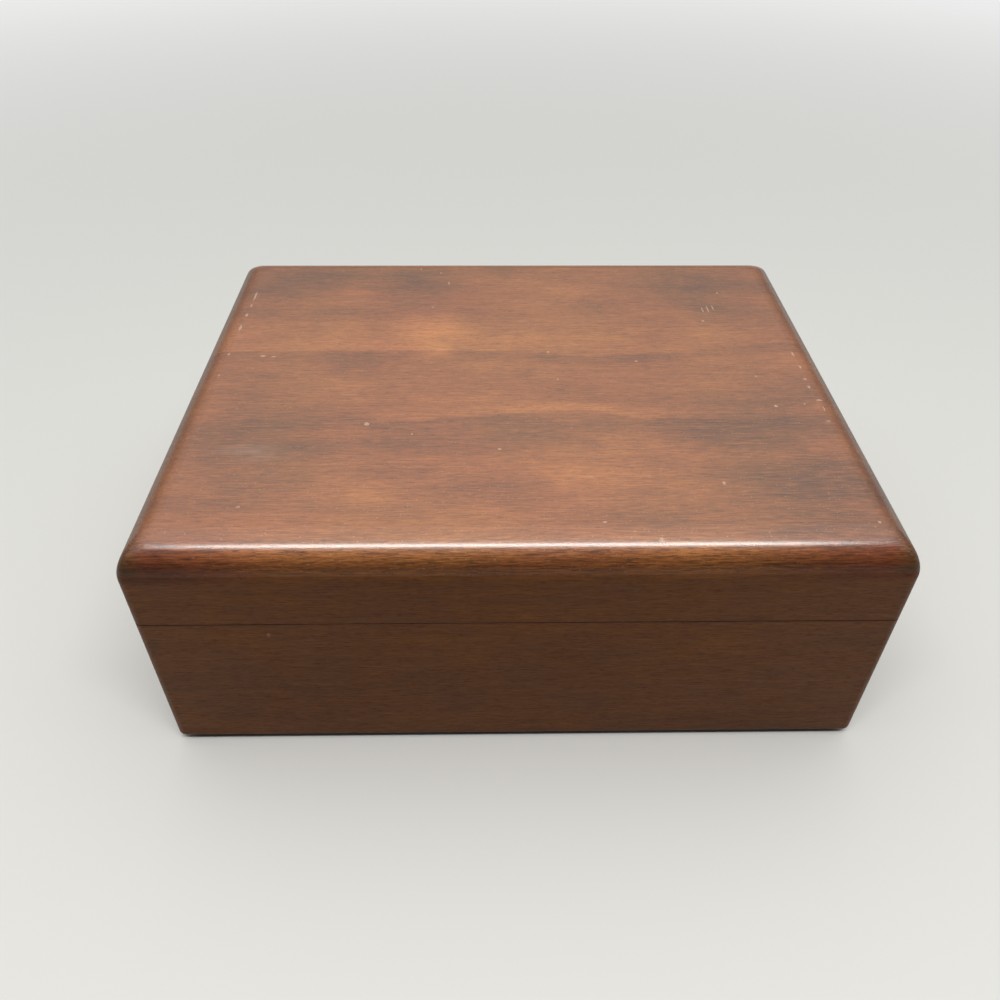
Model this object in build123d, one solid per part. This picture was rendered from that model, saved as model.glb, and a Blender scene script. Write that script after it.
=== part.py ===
from build123d import *
import os
from math import asin, cos, degrees, radians, sin

# Cigar humidor: a mahogany box with a hinged lid, lined with Spanish cedar.
# Millimetres. The origin is the centre of the underside, +Z up, and the front faces -Y.

# Outer box
BOX_WIDTH = 305.0
BOX_DEPTH = 245.0
BASE_HEIGHT = 74.95
LID_HEIGHT = 38.75
SEAM_GAP = 0.3
WALL = 12.0
CORNER_RADIUS = 4.0
SEAM_EASING = 0.4
FOOT_EASING = 1.2

# Solid top board. The quarter round run along the lid's edges takes in the top of the rails
TOP_BOARD = 12.0
ROUND_OVER = 15.0
ROUND_STEPS = 12
TOP_CORNER_RADIUS = 5.5
CORNER_MARGIN = 2.0

# Underside
FELT = 3.5
FELT_INSET = 3.0
PANEL = 6.0
PANEL_REBATE = 6.0

# Cedar linings. The base lining stands above the rim as a sealing lip
CEDAR_FLOOR = 4.0
CEDAR_CEILING = 4.0
LINING = 6.0
LIP_HEIGHT = 6.0
LIP_CLEARANCE = 0.5
LIP_EASING = 1.2
LID_LINING_GAP = 0.5

# Loose divider in two grooves
DIVIDER = 5.0
DIVIDER_HEIGHT = 55.0
DIVIDER_FROM_SIDE = 117.5
DIVIDER_CLEARANCE = 0.15
GROOVE_DEPTH = 2.0
NOTCH_RADIUS = 10.0
DIVIDER_EASING = 0.8

# Brass quadrant hinges, let into the rims at the two back corners
OPEN_ANGLE = 95.0
LEAF = 1.6
LEAF_WIDTH = 8.0
BACK_ARM = 34.0
KNUCKLE_RADIUS = 2.4
KNUCKLE_CLEARANCE = 0.4
KNUCKLES = 3
KNUCKLE_GAP = 0.2
BARREL_LENGTH = 18.0
BARREL_INSET = 6.0
PIN_RADIUS = 1.1
PIN_CLEARANCE = 0.05
PIN_OVERHANG = 0.3
LEAF_CORNER = 2.0

# Quadrant stays, curved strips that slide in slots and stop the lid
STAY_THICKNESS = 1.6
STAY_WIDTH = 3.0
STAY_SIDE_CLEARANCE = 0.3
STAY_EDGE_CLEARANCE = 0.2
STAY_SLOT_CLEARANCE = 0.5
STAY_REACH = 60.0
SLOT_ROOF = 2.2
LUG_HEIGHT = 1.4
LUG_TURN = 3.0
LUG_CLEARANCE = 0.3
SLOT_END_TURN = 1.5
SLOT_RIM_TURN = 12.0

# Countersunk brass screws
SCREW_LENGTH = 9.0
SCREW_RADIUS = 1.2
SCREW_HEAD_RADIUS = 2.5
SCREW_HEAD_HEIGHT = 1.4
SCREW_SLOT = 0.6
SCREW_FROM_AXIS = 12.0
SCREW_FROM_SLOT = 7.0
SCREW_FROM_END = 5.0

# Humidifier, held under the lid by magnets
HUMIDIFIER_LENGTH = 110.0
HUMIDIFIER_WIDTH = 56.0
HUMIDIFIER_CASE = 12.6
HUMIDIFIER_FROM_SIDE = 107.5
HUMIDIFIER_CORNER = 5.0
CASE_WALL = 1.6
CASE_EASING = 1.2
GRILLE = 1.4
GRILLE_RIM = 1.6
GRILLE_EASING = 0.5
GRILLE_SLOT_WIDTH = 2.6
GRILLE_SLOT_MARGIN = 8.0
GRILLE_PITCH = 7.0
FOAM_CLEARANCE = 0.3
MAGNET_RADIUS = 6.0
MAGNET = 2.5
MAGNET_X = 32.0
MAGNET_BOSS_WALL = 1.4
KEEPER = 0.8
KEEPER_LENGTH = 92.0
KEEPER_WIDTH = 18.0

# Hygrometer, a round brass instrument pushed into a hole in the lid lining
HYGROMETER_FROM_SIDE = 67.5
GAUGE_RADIUS = 23.0
GAUGE_DEPTH = 13.5
GAUGE_WALL = 1.4
GAUGE_BACK = 1.2
GAUGE_FIT = 0.08
GAUGE_BACK_CLEARANCE = 0.2
DIAL = 0.6
DIAL_DEPTH = 4.2
DIAL_LEDGE = 1.2
DIAL_CLEARANCE = 0.1
BEZEL_RADIUS = 26.0
BEZEL_SKIRT = 1.8
BEZEL_LIP = 0.9
BEZEL_LIP_WIDTH = 1.6
BEZEL_EASING = 0.7
GLASS = 1.2
GLASS_CLEARANCE = 0.1
ARBOR_RADIUS = 0.6
ARBOR_CLEARANCE = 0.08
ARBOR_END_GAP = 0.3
ARBOR_TIP = 0.5
BEARING_RADIUS = 2.5
BEARING_HEIGHT = 2.0
POINTER = 0.4
POINTER_ABOVE_DIAL = 1.4
POINTER_LENGTH = 16.5
POINTER_ROOT = 1.8
POINTER_POINT = 0.5
POINTER_HUB_RADIUS = 2.4
POINTER_TAIL = 6.5
POINTER_WEIGHT_RADIUS = 1.7
DIAL_SWEEP = 270.0
REST_READING = 0.7
VENTS = 8
VENT_RADIUS = 0.9
POST_RADIUS = 0.8
POST_FROM_AXIS = 12.0
COIL_TURNS = 4
COIL_STRIP = 0.3
COIL_HEIGHT = 3.5
COIL_START = 1.35
COIL_GAP = 0.5

# Cutters run this far past the face that they open
PAST = 1.0

# Heights, from the floor up
base_low = FELT
base_high = base_low + BASE_HEIGHT
lid_low = base_high + SEAM_GAP
lid_high = lid_low + LID_HEIGHT
seam = (base_high + lid_low) / 2
board_low = lid_high - TOP_BOARD
panel_high = base_low + PANEL
floor_high = panel_high + CEDAR_FLOOR
lip_high = base_high + LIP_HEIGHT
ceiling_low = board_low - CEDAR_CEILING

# The lid lining stops level with the bottom of the divider's grooves
lid_lining = LINING - GROOVE_DEPTH

# The divider and the hygrometer keep their distance from the right side, the humidifier from the left
divider_x = BOX_WIDTH / 2 - DIVIDER_FROM_SIDE
hygrometer_x = BOX_WIDTH / 2 - HYGROMETER_FROM_SIDE
humidifier_x = HUMIDIFIER_FROM_SIDE - BOX_WIDTH / 2

# The quarter round starts this far above the seam, and the lid's corners grow rounder within this square
round_start = LID_HEIGHT - ROUND_OVER
corner_square = ROUND_OVER + TOP_CORNER_RADIUS + CORNER_MARGIN

# Hinge axis, on the back face at the middle of the seam
hinge_y = BOX_DEPTH / 2
leaf_inset = (WALL - LEAF_WIDTH) / 2
leaf_outer_x = BOX_WIDTH / 2 - leaf_inset
leaf_middle_x = BOX_WIDTH / 2 - WALL / 2
barrel_x = (BOX_WIDTH / 2 - BARREL_INSET - BARREL_LENGTH, BOX_WIDTH / 2 - BARREL_INSET)
leaf_z = (base_high - LEAF, base_high)

# Stay and its slot, as radii about the hinge axis and turns from the seam
rail_height = board_low - lid_low
slot_outer = (rail_height - SLOT_ROOF) / sin(radians(STAY_REACH))
stay_outer = slot_outer - STAY_SLOT_CLEARANCE
stay_inner = stay_outer - STAY_WIDTH
lug_inner = stay_inner - LUG_HEIGHT
slot_inner = lug_inner - STAY_SLOT_CLEARANCE
lug_turn = OPEN_ANGLE / 2 + degrees(asin((SEAM_GAP / 2 + LEAF + LUG_CLEARANCE) / lug_inner))
stay_turn = lug_turn + LUG_TURN
slot_turn = stay_turn + SLOT_END_TURN
side_arm = slot_outer + SCREW_FROM_SLOT + SCREW_FROM_END

# Humidifier heights
keeper_low = ceiling_low - KEEPER
case_low = keeper_low - HUMIDIFIER_CASE
boss_low = keeper_low - MAGNET - MAGNET_BOSS_WALL

# Hygrometer heights, from its back down to its face
gauge_high = board_low - GAUGE_BACK_CLEARANCE
gauge_low = gauge_high - GAUGE_DEPTH
gauge_inner = GAUGE_RADIUS - GAUGE_WALL
dial_high = gauge_low + DIAL_DEPTH
dial_low = dial_high - DIAL
back_low = gauge_high - GAUGE_BACK
bearing_low = back_low - BEARING_HEIGHT
coil_high = bearing_low - COIL_GAP
coil_low = coil_high - COIL_HEIGHT
glass_low = gauge_low - GLASS
bezel_low = glass_low - BEZEL_LIP
pointer_high = dial_low - POINTER_ABOVE_DIAL
pointer_low = pointer_high - POINTER
rest_angle = (REST_READING - 0.5) * DIAL_SWEEP - 90


def save(name, shape):
    """Write one named piece."""
    export_step(shape, f"parts/{name}.step")


def save_pair(name, shape):
    """Write one piece of the right hinge and its mirror image at the left."""
    save(f"hinge_right_{name}", shape)
    save(f"hinge_left_{name}", other_side(shape))


def block(x, y, z):
    """A rectangular solid between two limits on each axis."""
    sizes = [high - low for low, high in (x, y, z)]
    middles = [(high + low) / 2 for low, high in (x, y, z)]
    return Pos(*middles) * Box(*sizes)


def disc(radius, low, high):
    """An upright cylinder on the Z axis between two heights."""
    return Pos(0, 0, (low + high) / 2) * Cylinder(radius, high - low)


def rod(radius, ends):
    """A cylinder on the hinge axis between two places along X."""
    middle = Pos((ends[0] + ends[1]) / 2, hinge_y, seam)
    return middle * Rot(0, 90, 0) * Cylinder(radius, ends[1] - ends[0])


def slab(inset, low, high, corner=0.0):
    """The box's plan drawn in by an inset, between two heights."""
    width = BOX_WIDTH - 2 * inset
    depth = BOX_DEPTH - 2 * inset
    plan = RectangleRounded(width, depth, corner) if corner else Rectangle(width, depth)
    return extrude(Pos(0, 0, low) * plan, high - low)


def other_side(shape):
    """The same piece at the left of the box."""
    return mirror(shape, about=Plane.YZ)


def in_lid(shape):
    """The same hinge piece above the seam."""
    return mirror(shape, about=Plane.XY.offset(seam))


def side_of(ring, side):
    """One side of a mitred frame, cut from the whole frame along its corners' diagonals."""
    out_x = BOX_WIDTH / 2 + PAST
    out_y = BOX_DEPTH / 2 + PAST
    reach = PAST + WALL + LINING + PAST
    in_x = out_x - reach
    in_y = out_y - reach
    corners = {
        "front": [(-out_x, -out_y), (out_x, -out_y), (in_x, -in_y), (-in_x, -in_y)],
        "back": [(out_x, out_y), (-out_x, out_y), (-in_x, in_y), (in_x, in_y)],
        "left": [(-out_x, out_y), (-out_x, -out_y), (-in_x, -in_y), (-in_x, in_y)],
        "right": [(out_x, -out_y), (out_x, out_y), (in_x, in_y), (in_x, -in_y)],
    }
    wedge = extrude(Polygon(*corners[side], align=None), lid_high)
    return ring & wedge


def outer_edges(ring, height):
    """The edges round the outside of a frame at one height."""
    level = ring.edges().filter_by_position(Axis.Z, height, height)
    return level.filter_by(lambda edge: is_outside(edge.center()))


def is_outside(point):
    """True on or near the outer faces of the box."""
    near = CORNER_RADIUS
    return abs(point.X) > BOX_WIDTH / 2 - near or abs(point.Y) > BOX_DEPTH / 2 - near


def base_frame():
    """The base's four walls as one ring, rebated below for the bottom panel."""
    ring = slab(0, base_low, base_high, CORNER_RADIUS) - slab(WALL, base_low, base_high)
    ring -= slab(WALL - PANEL_REBATE, base_low, panel_high)
    ring = fillet(outer_edges(ring, base_low), FOOT_EASING)
    return fillet(outer_edges(ring, base_high), SEAM_EASING)


def lid_strip(length):
    """A straight run of the lid's outer form with its quarter round, centred on its middle."""
    inner = corner_square - ROUND_OVER
    edge = CenterArc((inner, round_start), ROUND_OVER, 0, 90)
    top = Line((inner, LID_HEIGHT), (0, LID_HEIGHT))
    rest = Polyline((0, LID_HEIGHT), (0, 0), (corner_square, 0), (corner_square, round_start))
    return extrude(make_face([edge, top, rest]), length / 2, both=True)


def lid_corner():
    """The right back corner of the lid's form. Its plan shrinks up the quarter round and grows rounder."""
    sections = []
    for step in range(ROUND_STEPS + 1):
        share = step / ROUND_STEPS
        turn = radians(90 * share)
        side = 2 * (corner_square - ROUND_OVER * (1 - cos(turn)))
        height = round_start + ROUND_OVER * sin(turn)
        corner = CORNER_RADIUS + (TOP_CORNER_RADIUS - CORNER_RADIUS) * share
        sections.append(Pos(0, 0, height) * RectangleRounded(side, side, corner))
    plan = RectangleRounded(2 * corner_square, 2 * corner_square, CORNER_RADIUS)
    quarter = block((0, corner_square), (0, corner_square), (0, LID_HEIGHT))
    return (extrude(plan, round_start) & quarter) + (loft(sections) & quarter)


def lid_form():
    """The lid as a solid block, joined from its middle, its four edges and its four corners."""
    x = BOX_WIDTH / 2 - corner_square
    y = BOX_DEPTH / 2 - corner_square
    right = Plane((x, 0, 0), x_dir=(1, 0, 0), z_dir=(0, -1, 0)) * lid_strip(2 * y)
    back = Plane((0, y, 0), x_dir=(0, 1, 0), z_dir=(1, 0, 0)) * lid_strip(2 * x)
    right_corner = Pos(x, y, 0) * lid_corner()
    left_corner = other_side(right_corner)
    pieces = [right, other_side(right), back, right_corner, left_corner]
    pieces += [mirror(piece, about=Plane.XZ) for piece in (back, right_corner, left_corner)]
    middle = block((-x, x), (-y, y), (0, LID_HEIGHT))
    return Pos(0, 0, lid_low) * (middle + pieces)


def lid_frame(form):
    """The lid's four rails as one ring, cut from the lid's form."""
    ring = form - slab(-PAST, board_low, lid_high) - slab(WALL, lid_low, board_low)
    return fillet(outer_edges(ring, lid_low), SEAM_EASING)


def top_board(form):
    """The board on top of the rails, cut from the lid's form."""
    return form - slab(-PAST, lid_low, board_low)


def base_lining_frame():
    """The base's cedar lining as one ring, with its lip eased and set in to clear the lid."""
    inner = WALL + LINING
    ring = slab(WALL, floor_high, base_high) + slab(WALL + LIP_CLEARANCE, base_high, lip_high)
    ring = ring - slab(inner, floor_high, lip_high)
    ring = fillet(ring.edges().filter_by_position(Axis.Z, lip_high, lip_high), LIP_EASING)
    for end in (1, -1):
        ring -= divider_groove(end)
    return ring


def divider_groove(end):
    """The upright groove that holds one end of the divider."""
    half = DIVIDER / 2 + DIVIDER_CLEARANCE
    face = BOX_DEPTH / 2 - WALL - LINING
    y = sorted((end * (face - PAST), end * (face + GROOVE_DEPTH)))
    return block((divider_x - half, divider_x + half), y, (floor_high, lip_high))


def lid_lining_frame():
    """The lid's cedar lining as one ring, stopping short of the lip."""
    low = lip_high + LID_LINING_GAP
    return slab(WALL, low, ceiling_low) - slab(WALL + lid_lining, low, ceiling_low)


def ceiling():
    """The cedar board inside the lid, bored for the hygrometer."""
    board = slab(WALL, ceiling_low, board_low)
    return board - Pos(hygrometer_x, 0, 0) * disc(GAUGE_RADIUS + GAUGE_FIT, ceiling_low, board_low)


def divider():
    """The cedar divider, with a finger notch in its top edge."""
    half = BOX_DEPTH / 2 - WALL - LINING + GROOVE_DEPTH - DIVIDER_CLEARANCE
    high = floor_high + DIVIDER_HEIGHT
    x = (divider_x - DIVIDER / 2, divider_x + DIVIDER / 2)
    board = block(x, (-half, half), (floor_high, high))
    notch = Pos(divider_x, 0, high) * Rot(0, 90, 0) * Cylinder(NOTCH_RADIUS, DIVIDER + PAST)
    board -= notch
    top_edges = board.edges().filter_by_position(Axis.Z, high, high).filter_by(Axis.Y)
    return fillet(top_edges, DIVIDER_EASING)


def leaf_plate():
    """The flat L of a base leaf at the right back corner."""
    back_y = hinge_y - leaf_inset
    side = block((leaf_outer_x - LEAF_WIDTH, leaf_outer_x), (hinge_y - side_arm, back_y), leaf_z)
    back = block((leaf_outer_x - BACK_ARM, leaf_outer_x), (back_y - LEAF_WIDTH, back_y), leaf_z)
    plate = side + back
    ends = plate.edges().filter_by(Axis.Z).filter_by(lambda edge: is_leaf_end(edge.center()))
    return fillet(ends, LEAF_CORNER)


def is_leaf_end(point):
    """True at the far end of either arm of a leaf."""
    at_side = abs(point.Y - (hinge_y - side_arm)) < LEAF
    at_back = abs(point.X - (leaf_outer_x - BACK_ARM)) < LEAF
    return at_side or at_back


def screw_places():
    """Where the right base leaf's screws stand, on top of the leaf."""
    on_side = (SCREW_FROM_AXIS, slot_outer + SCREW_FROM_SLOT)
    back_x = leaf_outer_x - BACK_ARM + SCREW_FROM_END
    places = [Pos(leaf_middle_x, hinge_y - along, base_high) for along in on_side]
    return places + [Pos(back_x, hinge_y - WALL / 2, base_high)]


def screw_body():
    """A countersunk screw hanging below the origin, before its slot is cut."""
    head = Cone(SCREW_RADIUS, SCREW_HEAD_RADIUS, SCREW_HEAD_HEIGHT)
    return Pos(0, 0, -SCREW_HEAD_HEIGHT / 2) * head + disc(SCREW_RADIUS, -SCREW_LENGTH, -SCREW_HEAD_HEIGHT)


def screw():
    """The screw with its driver slot."""
    slot = Pos(0, 0, -SCREW_SLOT / 2) * Box(2 * SCREW_HEAD_RADIUS, SCREW_SLOT, SCREW_SLOT)
    return screw_body() - slot


def stay_section(inner, outer, start, end, thickness):
    """A strip of a ring about the hinge axis, between two turns up from the front."""
    plane = Plane((leaf_middle_x, hinge_y, seam), x_dir=(0, -1, 0), z_dir=(-1, 0, 0))
    size = end - start
    outside = CenterArc((0, 0), outer, start, size)
    inside = CenterArc((0, 0), inner, start, size)
    sides = [Line(outside @ along, inside @ along) for along in (0, 1)]
    face = make_face([outside, inside, *sides])
    return extrude(plane * face, thickness / 2, both=True)


def stay():
    """The right stay, a curved strip with a stop lug at each end."""
    strip = stay_section(stay_inner, stay_outer, -stay_turn, stay_turn, STAY_THICKNESS)
    for start in (-stay_turn, lug_turn):
        strip += stay_section(lug_inner, stay_outer, start, start + LUG_TURN, STAY_THICKNESS)
    return strip


def stay_slot():
    """The slot in the base's right wall that the stay runs in, open at the rim."""
    width = STAY_THICKNESS + 2 * STAY_SIDE_CLEARANCE
    return stay_section(slot_inner, slot_outer, -slot_turn, SLOT_RIM_TURN, width)


def leaf(knuckles):
    """The right base leaf, with the knuckles named by their place along the barrel."""
    plate = leaf_plate() - rod(KNUCKLE_RADIUS + KNUCKLE_CLEARANCE, barrel_x)
    step = (BARREL_LENGTH + KNUCKLE_GAP) / KNUCKLES
    for place in knuckles:
        start = barrel_x[0] + place * step
        ends = (start, start + step - KNUCKLE_GAP)
        web = block(ends, (hinge_y - leaf_inset - LEAF, hinge_y), leaf_z)
        plate = plate + web + rod(KNUCKLE_RADIUS, ends)
    slack = STAY_EDGE_CLEARANCE
    x_half = STAY_THICKNESS / 2 + STAY_SIDE_CLEARANCE
    opening_x = (leaf_middle_x - x_half, leaf_middle_x + x_half)
    opening_y = (hinge_y - stay_outer - slack, hinge_y - stay_inner + slack)
    plate -= block(opening_x, opening_y, leaf_z)
    for place in screw_places():
        plate -= place * screw_body()
    return plate


def base_leaf():
    """The right base leaf. Its outer knuckles grip the pin."""
    return leaf((0, 2)) - rod(PIN_RADIUS, barrel_x)


def lid_leaf():
    """The right lid leaf. Its middle knuckle turns on the pin."""
    return in_lid(leaf((1,)) - rod(PIN_RADIUS + PIN_CLEARANCE, barrel_x))


def hinge_pin():
    """The right hinge's pin."""
    return rod(PIN_RADIUS, (barrel_x[0] - PIN_OVERHANG, barrel_x[1] + PIN_OVERHANG))


def hinge_recess():
    """All that the right hinge needs cut out of the base's rim."""
    room = (barrel_x[0] - KNUCKLE_CLEARANCE, barrel_x[1] + KNUCKLE_CLEARANCE)
    recess = leaf_plate() + rod(KNUCKLE_RADIUS + KNUCKLE_CLEARANCE, room) + stay_slot()
    for place in screw_places():
        recess += place * screw_body()
    return recess


def hinge_screws():
    """All the screws of the two base leaves."""
    right = [place * screw() for place in screw_places()]
    return right + [other_side(one) for one in right]


def felt():
    """The felt pad glued under the box."""
    return slab(FELT_INSET, 0, FELT, CORNER_RADIUS)


def bottom_panel():
    """The panel let into the walls from below."""
    return slab(WALL - PANEL_REBATE, base_low, panel_high)


def humidifier_plan(inset):
    """The humidifier's outline, drawn in by an inset."""
    corner = HUMIDIFIER_CORNER - inset
    length = HUMIDIFIER_LENGTH - 2 * inset
    return Pos(humidifier_x, 0, 0) * RectangleRounded(length, HUMIDIFIER_WIDTH - 2 * inset, corner)


def magnet_places():
    """The two magnets' axes."""
    return [Pos(humidifier_x + side * MAGNET_X, 0, 0) for side in (-1, 1)]


def humidifier_case():
    """The moulded case, open below, with a boss round each magnet."""
    shell = extrude(Pos(0, 0, case_low) * humidifier_plan(0), HUMIDIFIER_CASE)
    shell = fillet(shell.edges().filter_by_position(Axis.Z, keeper_low, keeper_low), CASE_EASING)
    hollow = HUMIDIFIER_CASE - CASE_WALL
    shell -= extrude(Pos(0, 0, case_low) * humidifier_plan(CASE_WALL), hollow)
    for place in magnet_places():
        shell += place * disc(MAGNET_RADIUS + MAGNET_BOSS_WALL, boss_low, keeper_low)
        shell -= place * disc(MAGNET_RADIUS, keeper_low - MAGNET, keeper_low)
    return shell


def humidifier_grille():
    """The slotted cover. A rim on its inside locates it in the case."""
    cover = extrude(Pos(0, 0, case_low) * humidifier_plan(0), -GRILLE)
    low = case_low - GRILLE
    cover = fillet(cover.edges().filter_by_position(Axis.Z, low, low), GRILLE_EASING)
    rim = humidifier_plan(CASE_WALL) - humidifier_plan(CASE_WALL + GRILLE_RIM)
    cover += extrude(Pos(0, 0, case_low) * rim, GRILLE_RIM)
    span = HUMIDIFIER_LENGTH - 2 * GRILLE_SLOT_MARGIN
    count = int(span / GRILLE_PITCH) + 1
    length = HUMIDIFIER_WIDTH - 2 * GRILLE_SLOT_MARGIN
    slot = extrude(Rot(0, 0, 90) * SlotOverall(length, GRILLE_SLOT_WIDTH), GRILLE)
    for place in GridLocations(GRILLE_PITCH, 0, count, 1):
        cover -= Pos(humidifier_x, 0, low) * place * slot
    return cover


def humidifier_foam():
    """The water-holding foam inside the case."""
    plan = humidifier_plan(CASE_WALL + GRILLE_RIM + FOAM_CLEARANCE)
    low = case_low + FOAM_CLEARANCE
    return extrude(Pos(0, 0, low) * plan, boss_low - FOAM_CLEARANCE - low)


def magnets():
    """The two magnets in the back of the case."""
    return [place * disc(MAGNET_RADIUS, keeper_low - MAGNET, keeper_low) for place in magnet_places()]


def keeper():
    """The steel strip on the lid lining that the magnets hold."""
    plan = Pos(humidifier_x, 0, keeper_low) * SlotOverall(KEEPER_LENGTH, KEEPER_WIDTH)
    return extrude(plan, KEEPER)


def gauge_case():
    """The hygrometer's brass cup, with the dial's ledge, the arbor's bearing and the coil's post."""
    cup = disc(GAUGE_RADIUS, gauge_low, gauge_high) - disc(gauge_inner, gauge_low, dial_high)
    cup -= disc(gauge_inner - DIAL_LEDGE, dial_high, back_low)
    cup += disc(BEARING_RADIUS, bearing_low, back_low)
    cup -= disc(ARBOR_RADIUS + ARBOR_CLEARANCE, bearing_low, gauge_high - GAUGE_BACK / 2)
    cup += Pos(POST_FROM_AXIS, 0, 0) * disc(POST_RADIUS, coil_low, back_low)
    vent_z = (dial_high + ceiling_low) / 2
    vent = Pos(GAUGE_RADIUS, 0, vent_z) * Rot(0, 90, 0) * Cylinder(VENT_RADIUS, GAUGE_RADIUS / 2)
    for place in PolarLocations(0, VENTS, start_angle=180 / VENTS):
        cup -= place * vent
    return cup


def gauge_bezel():
    """The turned ring that holds the glass on the cup."""
    skirt_high = gauge_low + BEZEL_SKIRT
    lip_inner = gauge_inner - BEZEL_LIP_WIDTH
    ring = disc(BEZEL_RADIUS, bezel_low, skirt_high) - disc(GAUGE_RADIUS, glass_low, skirt_high)
    ring -= disc(lip_inner, bezel_low, glass_low)
    rims = ring.edges().filter_by_position(Axis.Z, bezel_low, bezel_low)
    return fillet(rims, BEZEL_EASING)


def gauge_glass():
    """The flat glass between the cup and the bezel's lip."""
    return disc(GAUGE_RADIUS - GLASS_CLEARANCE, glass_low, gauge_low)


def gauge_dial():
    """The dial plate against its ledge, with the arbor's hole."""
    plate = disc(gauge_inner - DIAL_CLEARANCE, dial_low, dial_high)
    return plate - disc(ARBOR_RADIUS + ARBOR_CLEARANCE, dial_low, dial_high)


def gauge_coil():
    """The humidity-sensing spring, a strip wound in half turns from the arbor out to its post."""
    end = POST_FROM_AXIS - POST_RADIUS - COIL_STRIP / 2
    pitch = (end - COIL_START) / COIL_TURNS
    arcs = []
    for half in range(2 * COIL_TURNS):
        centre = (half % 2) * pitch / 2
        arcs.append(CenterArc((centre, 0), COIL_START + half * pitch / 2, 180 * (half % 2), 180))
    strip = trace(Wire(arcs), COIL_STRIP)
    return extrude(Pos(0, 0, coil_low) * strip, COIL_HEIGHT)


def gauge_arbor():
    """The shaft that carries the pointer."""
    return disc(ARBOR_RADIUS, pointer_low - ARBOR_TIP, gauge_high - GAUGE_BACK / 2 - ARBOR_END_GAP)


def gauge_pointer():
    """The needle, its hub and the weight on its tail, pointing at the rest reading."""
    needle = Polygon(
        (0, -POINTER_ROOT / 2),
        (POINTER_LENGTH, -POINTER_POINT / 2),
        (POINTER_LENGTH, POINTER_POINT / 2),
        (0, POINTER_ROOT / 2),
        align=None,
    )
    tail = Pos(-POINTER_TAIL / 2, 0) * Rectangle(POINTER_TAIL, POINTER_POINT * 2)
    weight = Pos(-POINTER_TAIL, 0) * Circle(POINTER_WEIGHT_RADIUS)
    plan = needle + tail + weight + Circle(POINTER_HUB_RADIUS) - Circle(ARBOR_RADIUS)
    return extrude(Pos(0, 0, pointer_low) * Rot(0, 0, rest_angle) * plan, POINTER)


def build_base():
    """Write the base, its lining and its half of the hinges."""
    frame = base_frame()
    recess = hinge_recess()
    recesses = recess + other_side(recess)
    lining = base_lining_frame()
    for side in ("front", "back", "left", "right"):
        save(f"base_{side}_wall", side_of(frame, side) - recesses)
        save(f"cedar_{side}_lining", side_of(lining, side))
    save("base_bottom_panel", bottom_panel())
    save("base_felt_pad", felt())
    save("cedar_floor", slab(WALL, panel_high, floor_high))
    save("cedar_divider", divider())
    save("hinge_base_screws", Compound(children=hinge_screws()))
    save_pair("base_leaf", base_leaf())
    save_pair("pin", hinge_pin())
    save_pair("stay", stay())


def build_lid():
    """Write the lid, its lining and its half of the hinges."""
    form = lid_form()
    frame = lid_frame(form)
    recess = in_lid(hinge_recess())
    recesses = recess + other_side(recess)
    lining = lid_lining_frame()
    for side in ("front", "back", "left", "right"):
        save(f"lid_{side}_rail", side_of(frame, side) - recesses)
        save(f"lid_{side}_lining", side_of(lining, side))
    save("lid_top_board", top_board(form))
    save("lid_ceiling", ceiling())
    save("hinge_lid_screws", Compound(children=[in_lid(one) for one in hinge_screws()]))
    save_pair("lid_leaf", lid_leaf())


def build_humidifier():
    """Write the humidifier and the strip that holds it."""
    save("humidifier_case", humidifier_case())
    save("humidifier_grille", humidifier_grille())
    save("humidifier_foam", humidifier_foam())
    save("humidifier_magnets", Compound(children=magnets()))
    save("humidifier_keeper", keeper())


def build_hygrometer():
    """Write the hygrometer in its place under the lid."""
    pieces = {
        "case": gauge_case(),
        "bezel": gauge_bezel(),
        "glass": gauge_glass(),
        "dial": gauge_dial(),
        "coil": gauge_coil(),
        "arbor": gauge_arbor(),
        "pointer": gauge_pointer(),
    }
    for name, piece in pieces.items():
        save(f"hygrometer_{name}", Pos(hygrometer_x, 0, 0) * piece)


os.makedirs("parts", exist_ok=True)
build_base()
build_lid()
build_humidifier()
build_hygrometer()
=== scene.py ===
"""Finishes, soft pieces, dial and studio of a mahogany cigar humidor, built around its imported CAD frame."""

import math
from collections import namedtuple
from functools import partial

import bmesh
import bpy
from bpy.props import FloatProperty, FloatVectorProperty, IntProperty, PointerProperty
from mathutils import Matrix, Vector, noise


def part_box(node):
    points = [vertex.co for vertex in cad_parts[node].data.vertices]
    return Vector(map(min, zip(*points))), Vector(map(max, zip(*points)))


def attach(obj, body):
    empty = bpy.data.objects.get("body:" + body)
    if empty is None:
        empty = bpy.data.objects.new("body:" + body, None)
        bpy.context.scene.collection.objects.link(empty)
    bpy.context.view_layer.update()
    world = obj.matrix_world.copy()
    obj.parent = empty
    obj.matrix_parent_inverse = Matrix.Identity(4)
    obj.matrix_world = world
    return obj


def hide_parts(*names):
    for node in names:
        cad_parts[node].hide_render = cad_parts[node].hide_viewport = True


bl_info = {
    "name": "Cigar humidor",
    "version": (1, 0, 0),
    "blender": (4, 5, 0),
    "location": "View3D > Sidebar > Humidor",
    "description": "Finishes, soft pieces, dial and studio of a mahogany cigar humidor",
    "category": "Object",
}

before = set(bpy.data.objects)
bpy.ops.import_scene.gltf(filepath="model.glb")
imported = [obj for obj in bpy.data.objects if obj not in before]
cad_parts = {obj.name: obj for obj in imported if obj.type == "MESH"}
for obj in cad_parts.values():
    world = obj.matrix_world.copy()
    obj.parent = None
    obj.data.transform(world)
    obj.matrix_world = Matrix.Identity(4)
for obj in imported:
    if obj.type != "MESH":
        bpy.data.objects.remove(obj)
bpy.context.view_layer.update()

MM = 0.001
EVERYWHERE = math.inf

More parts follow.
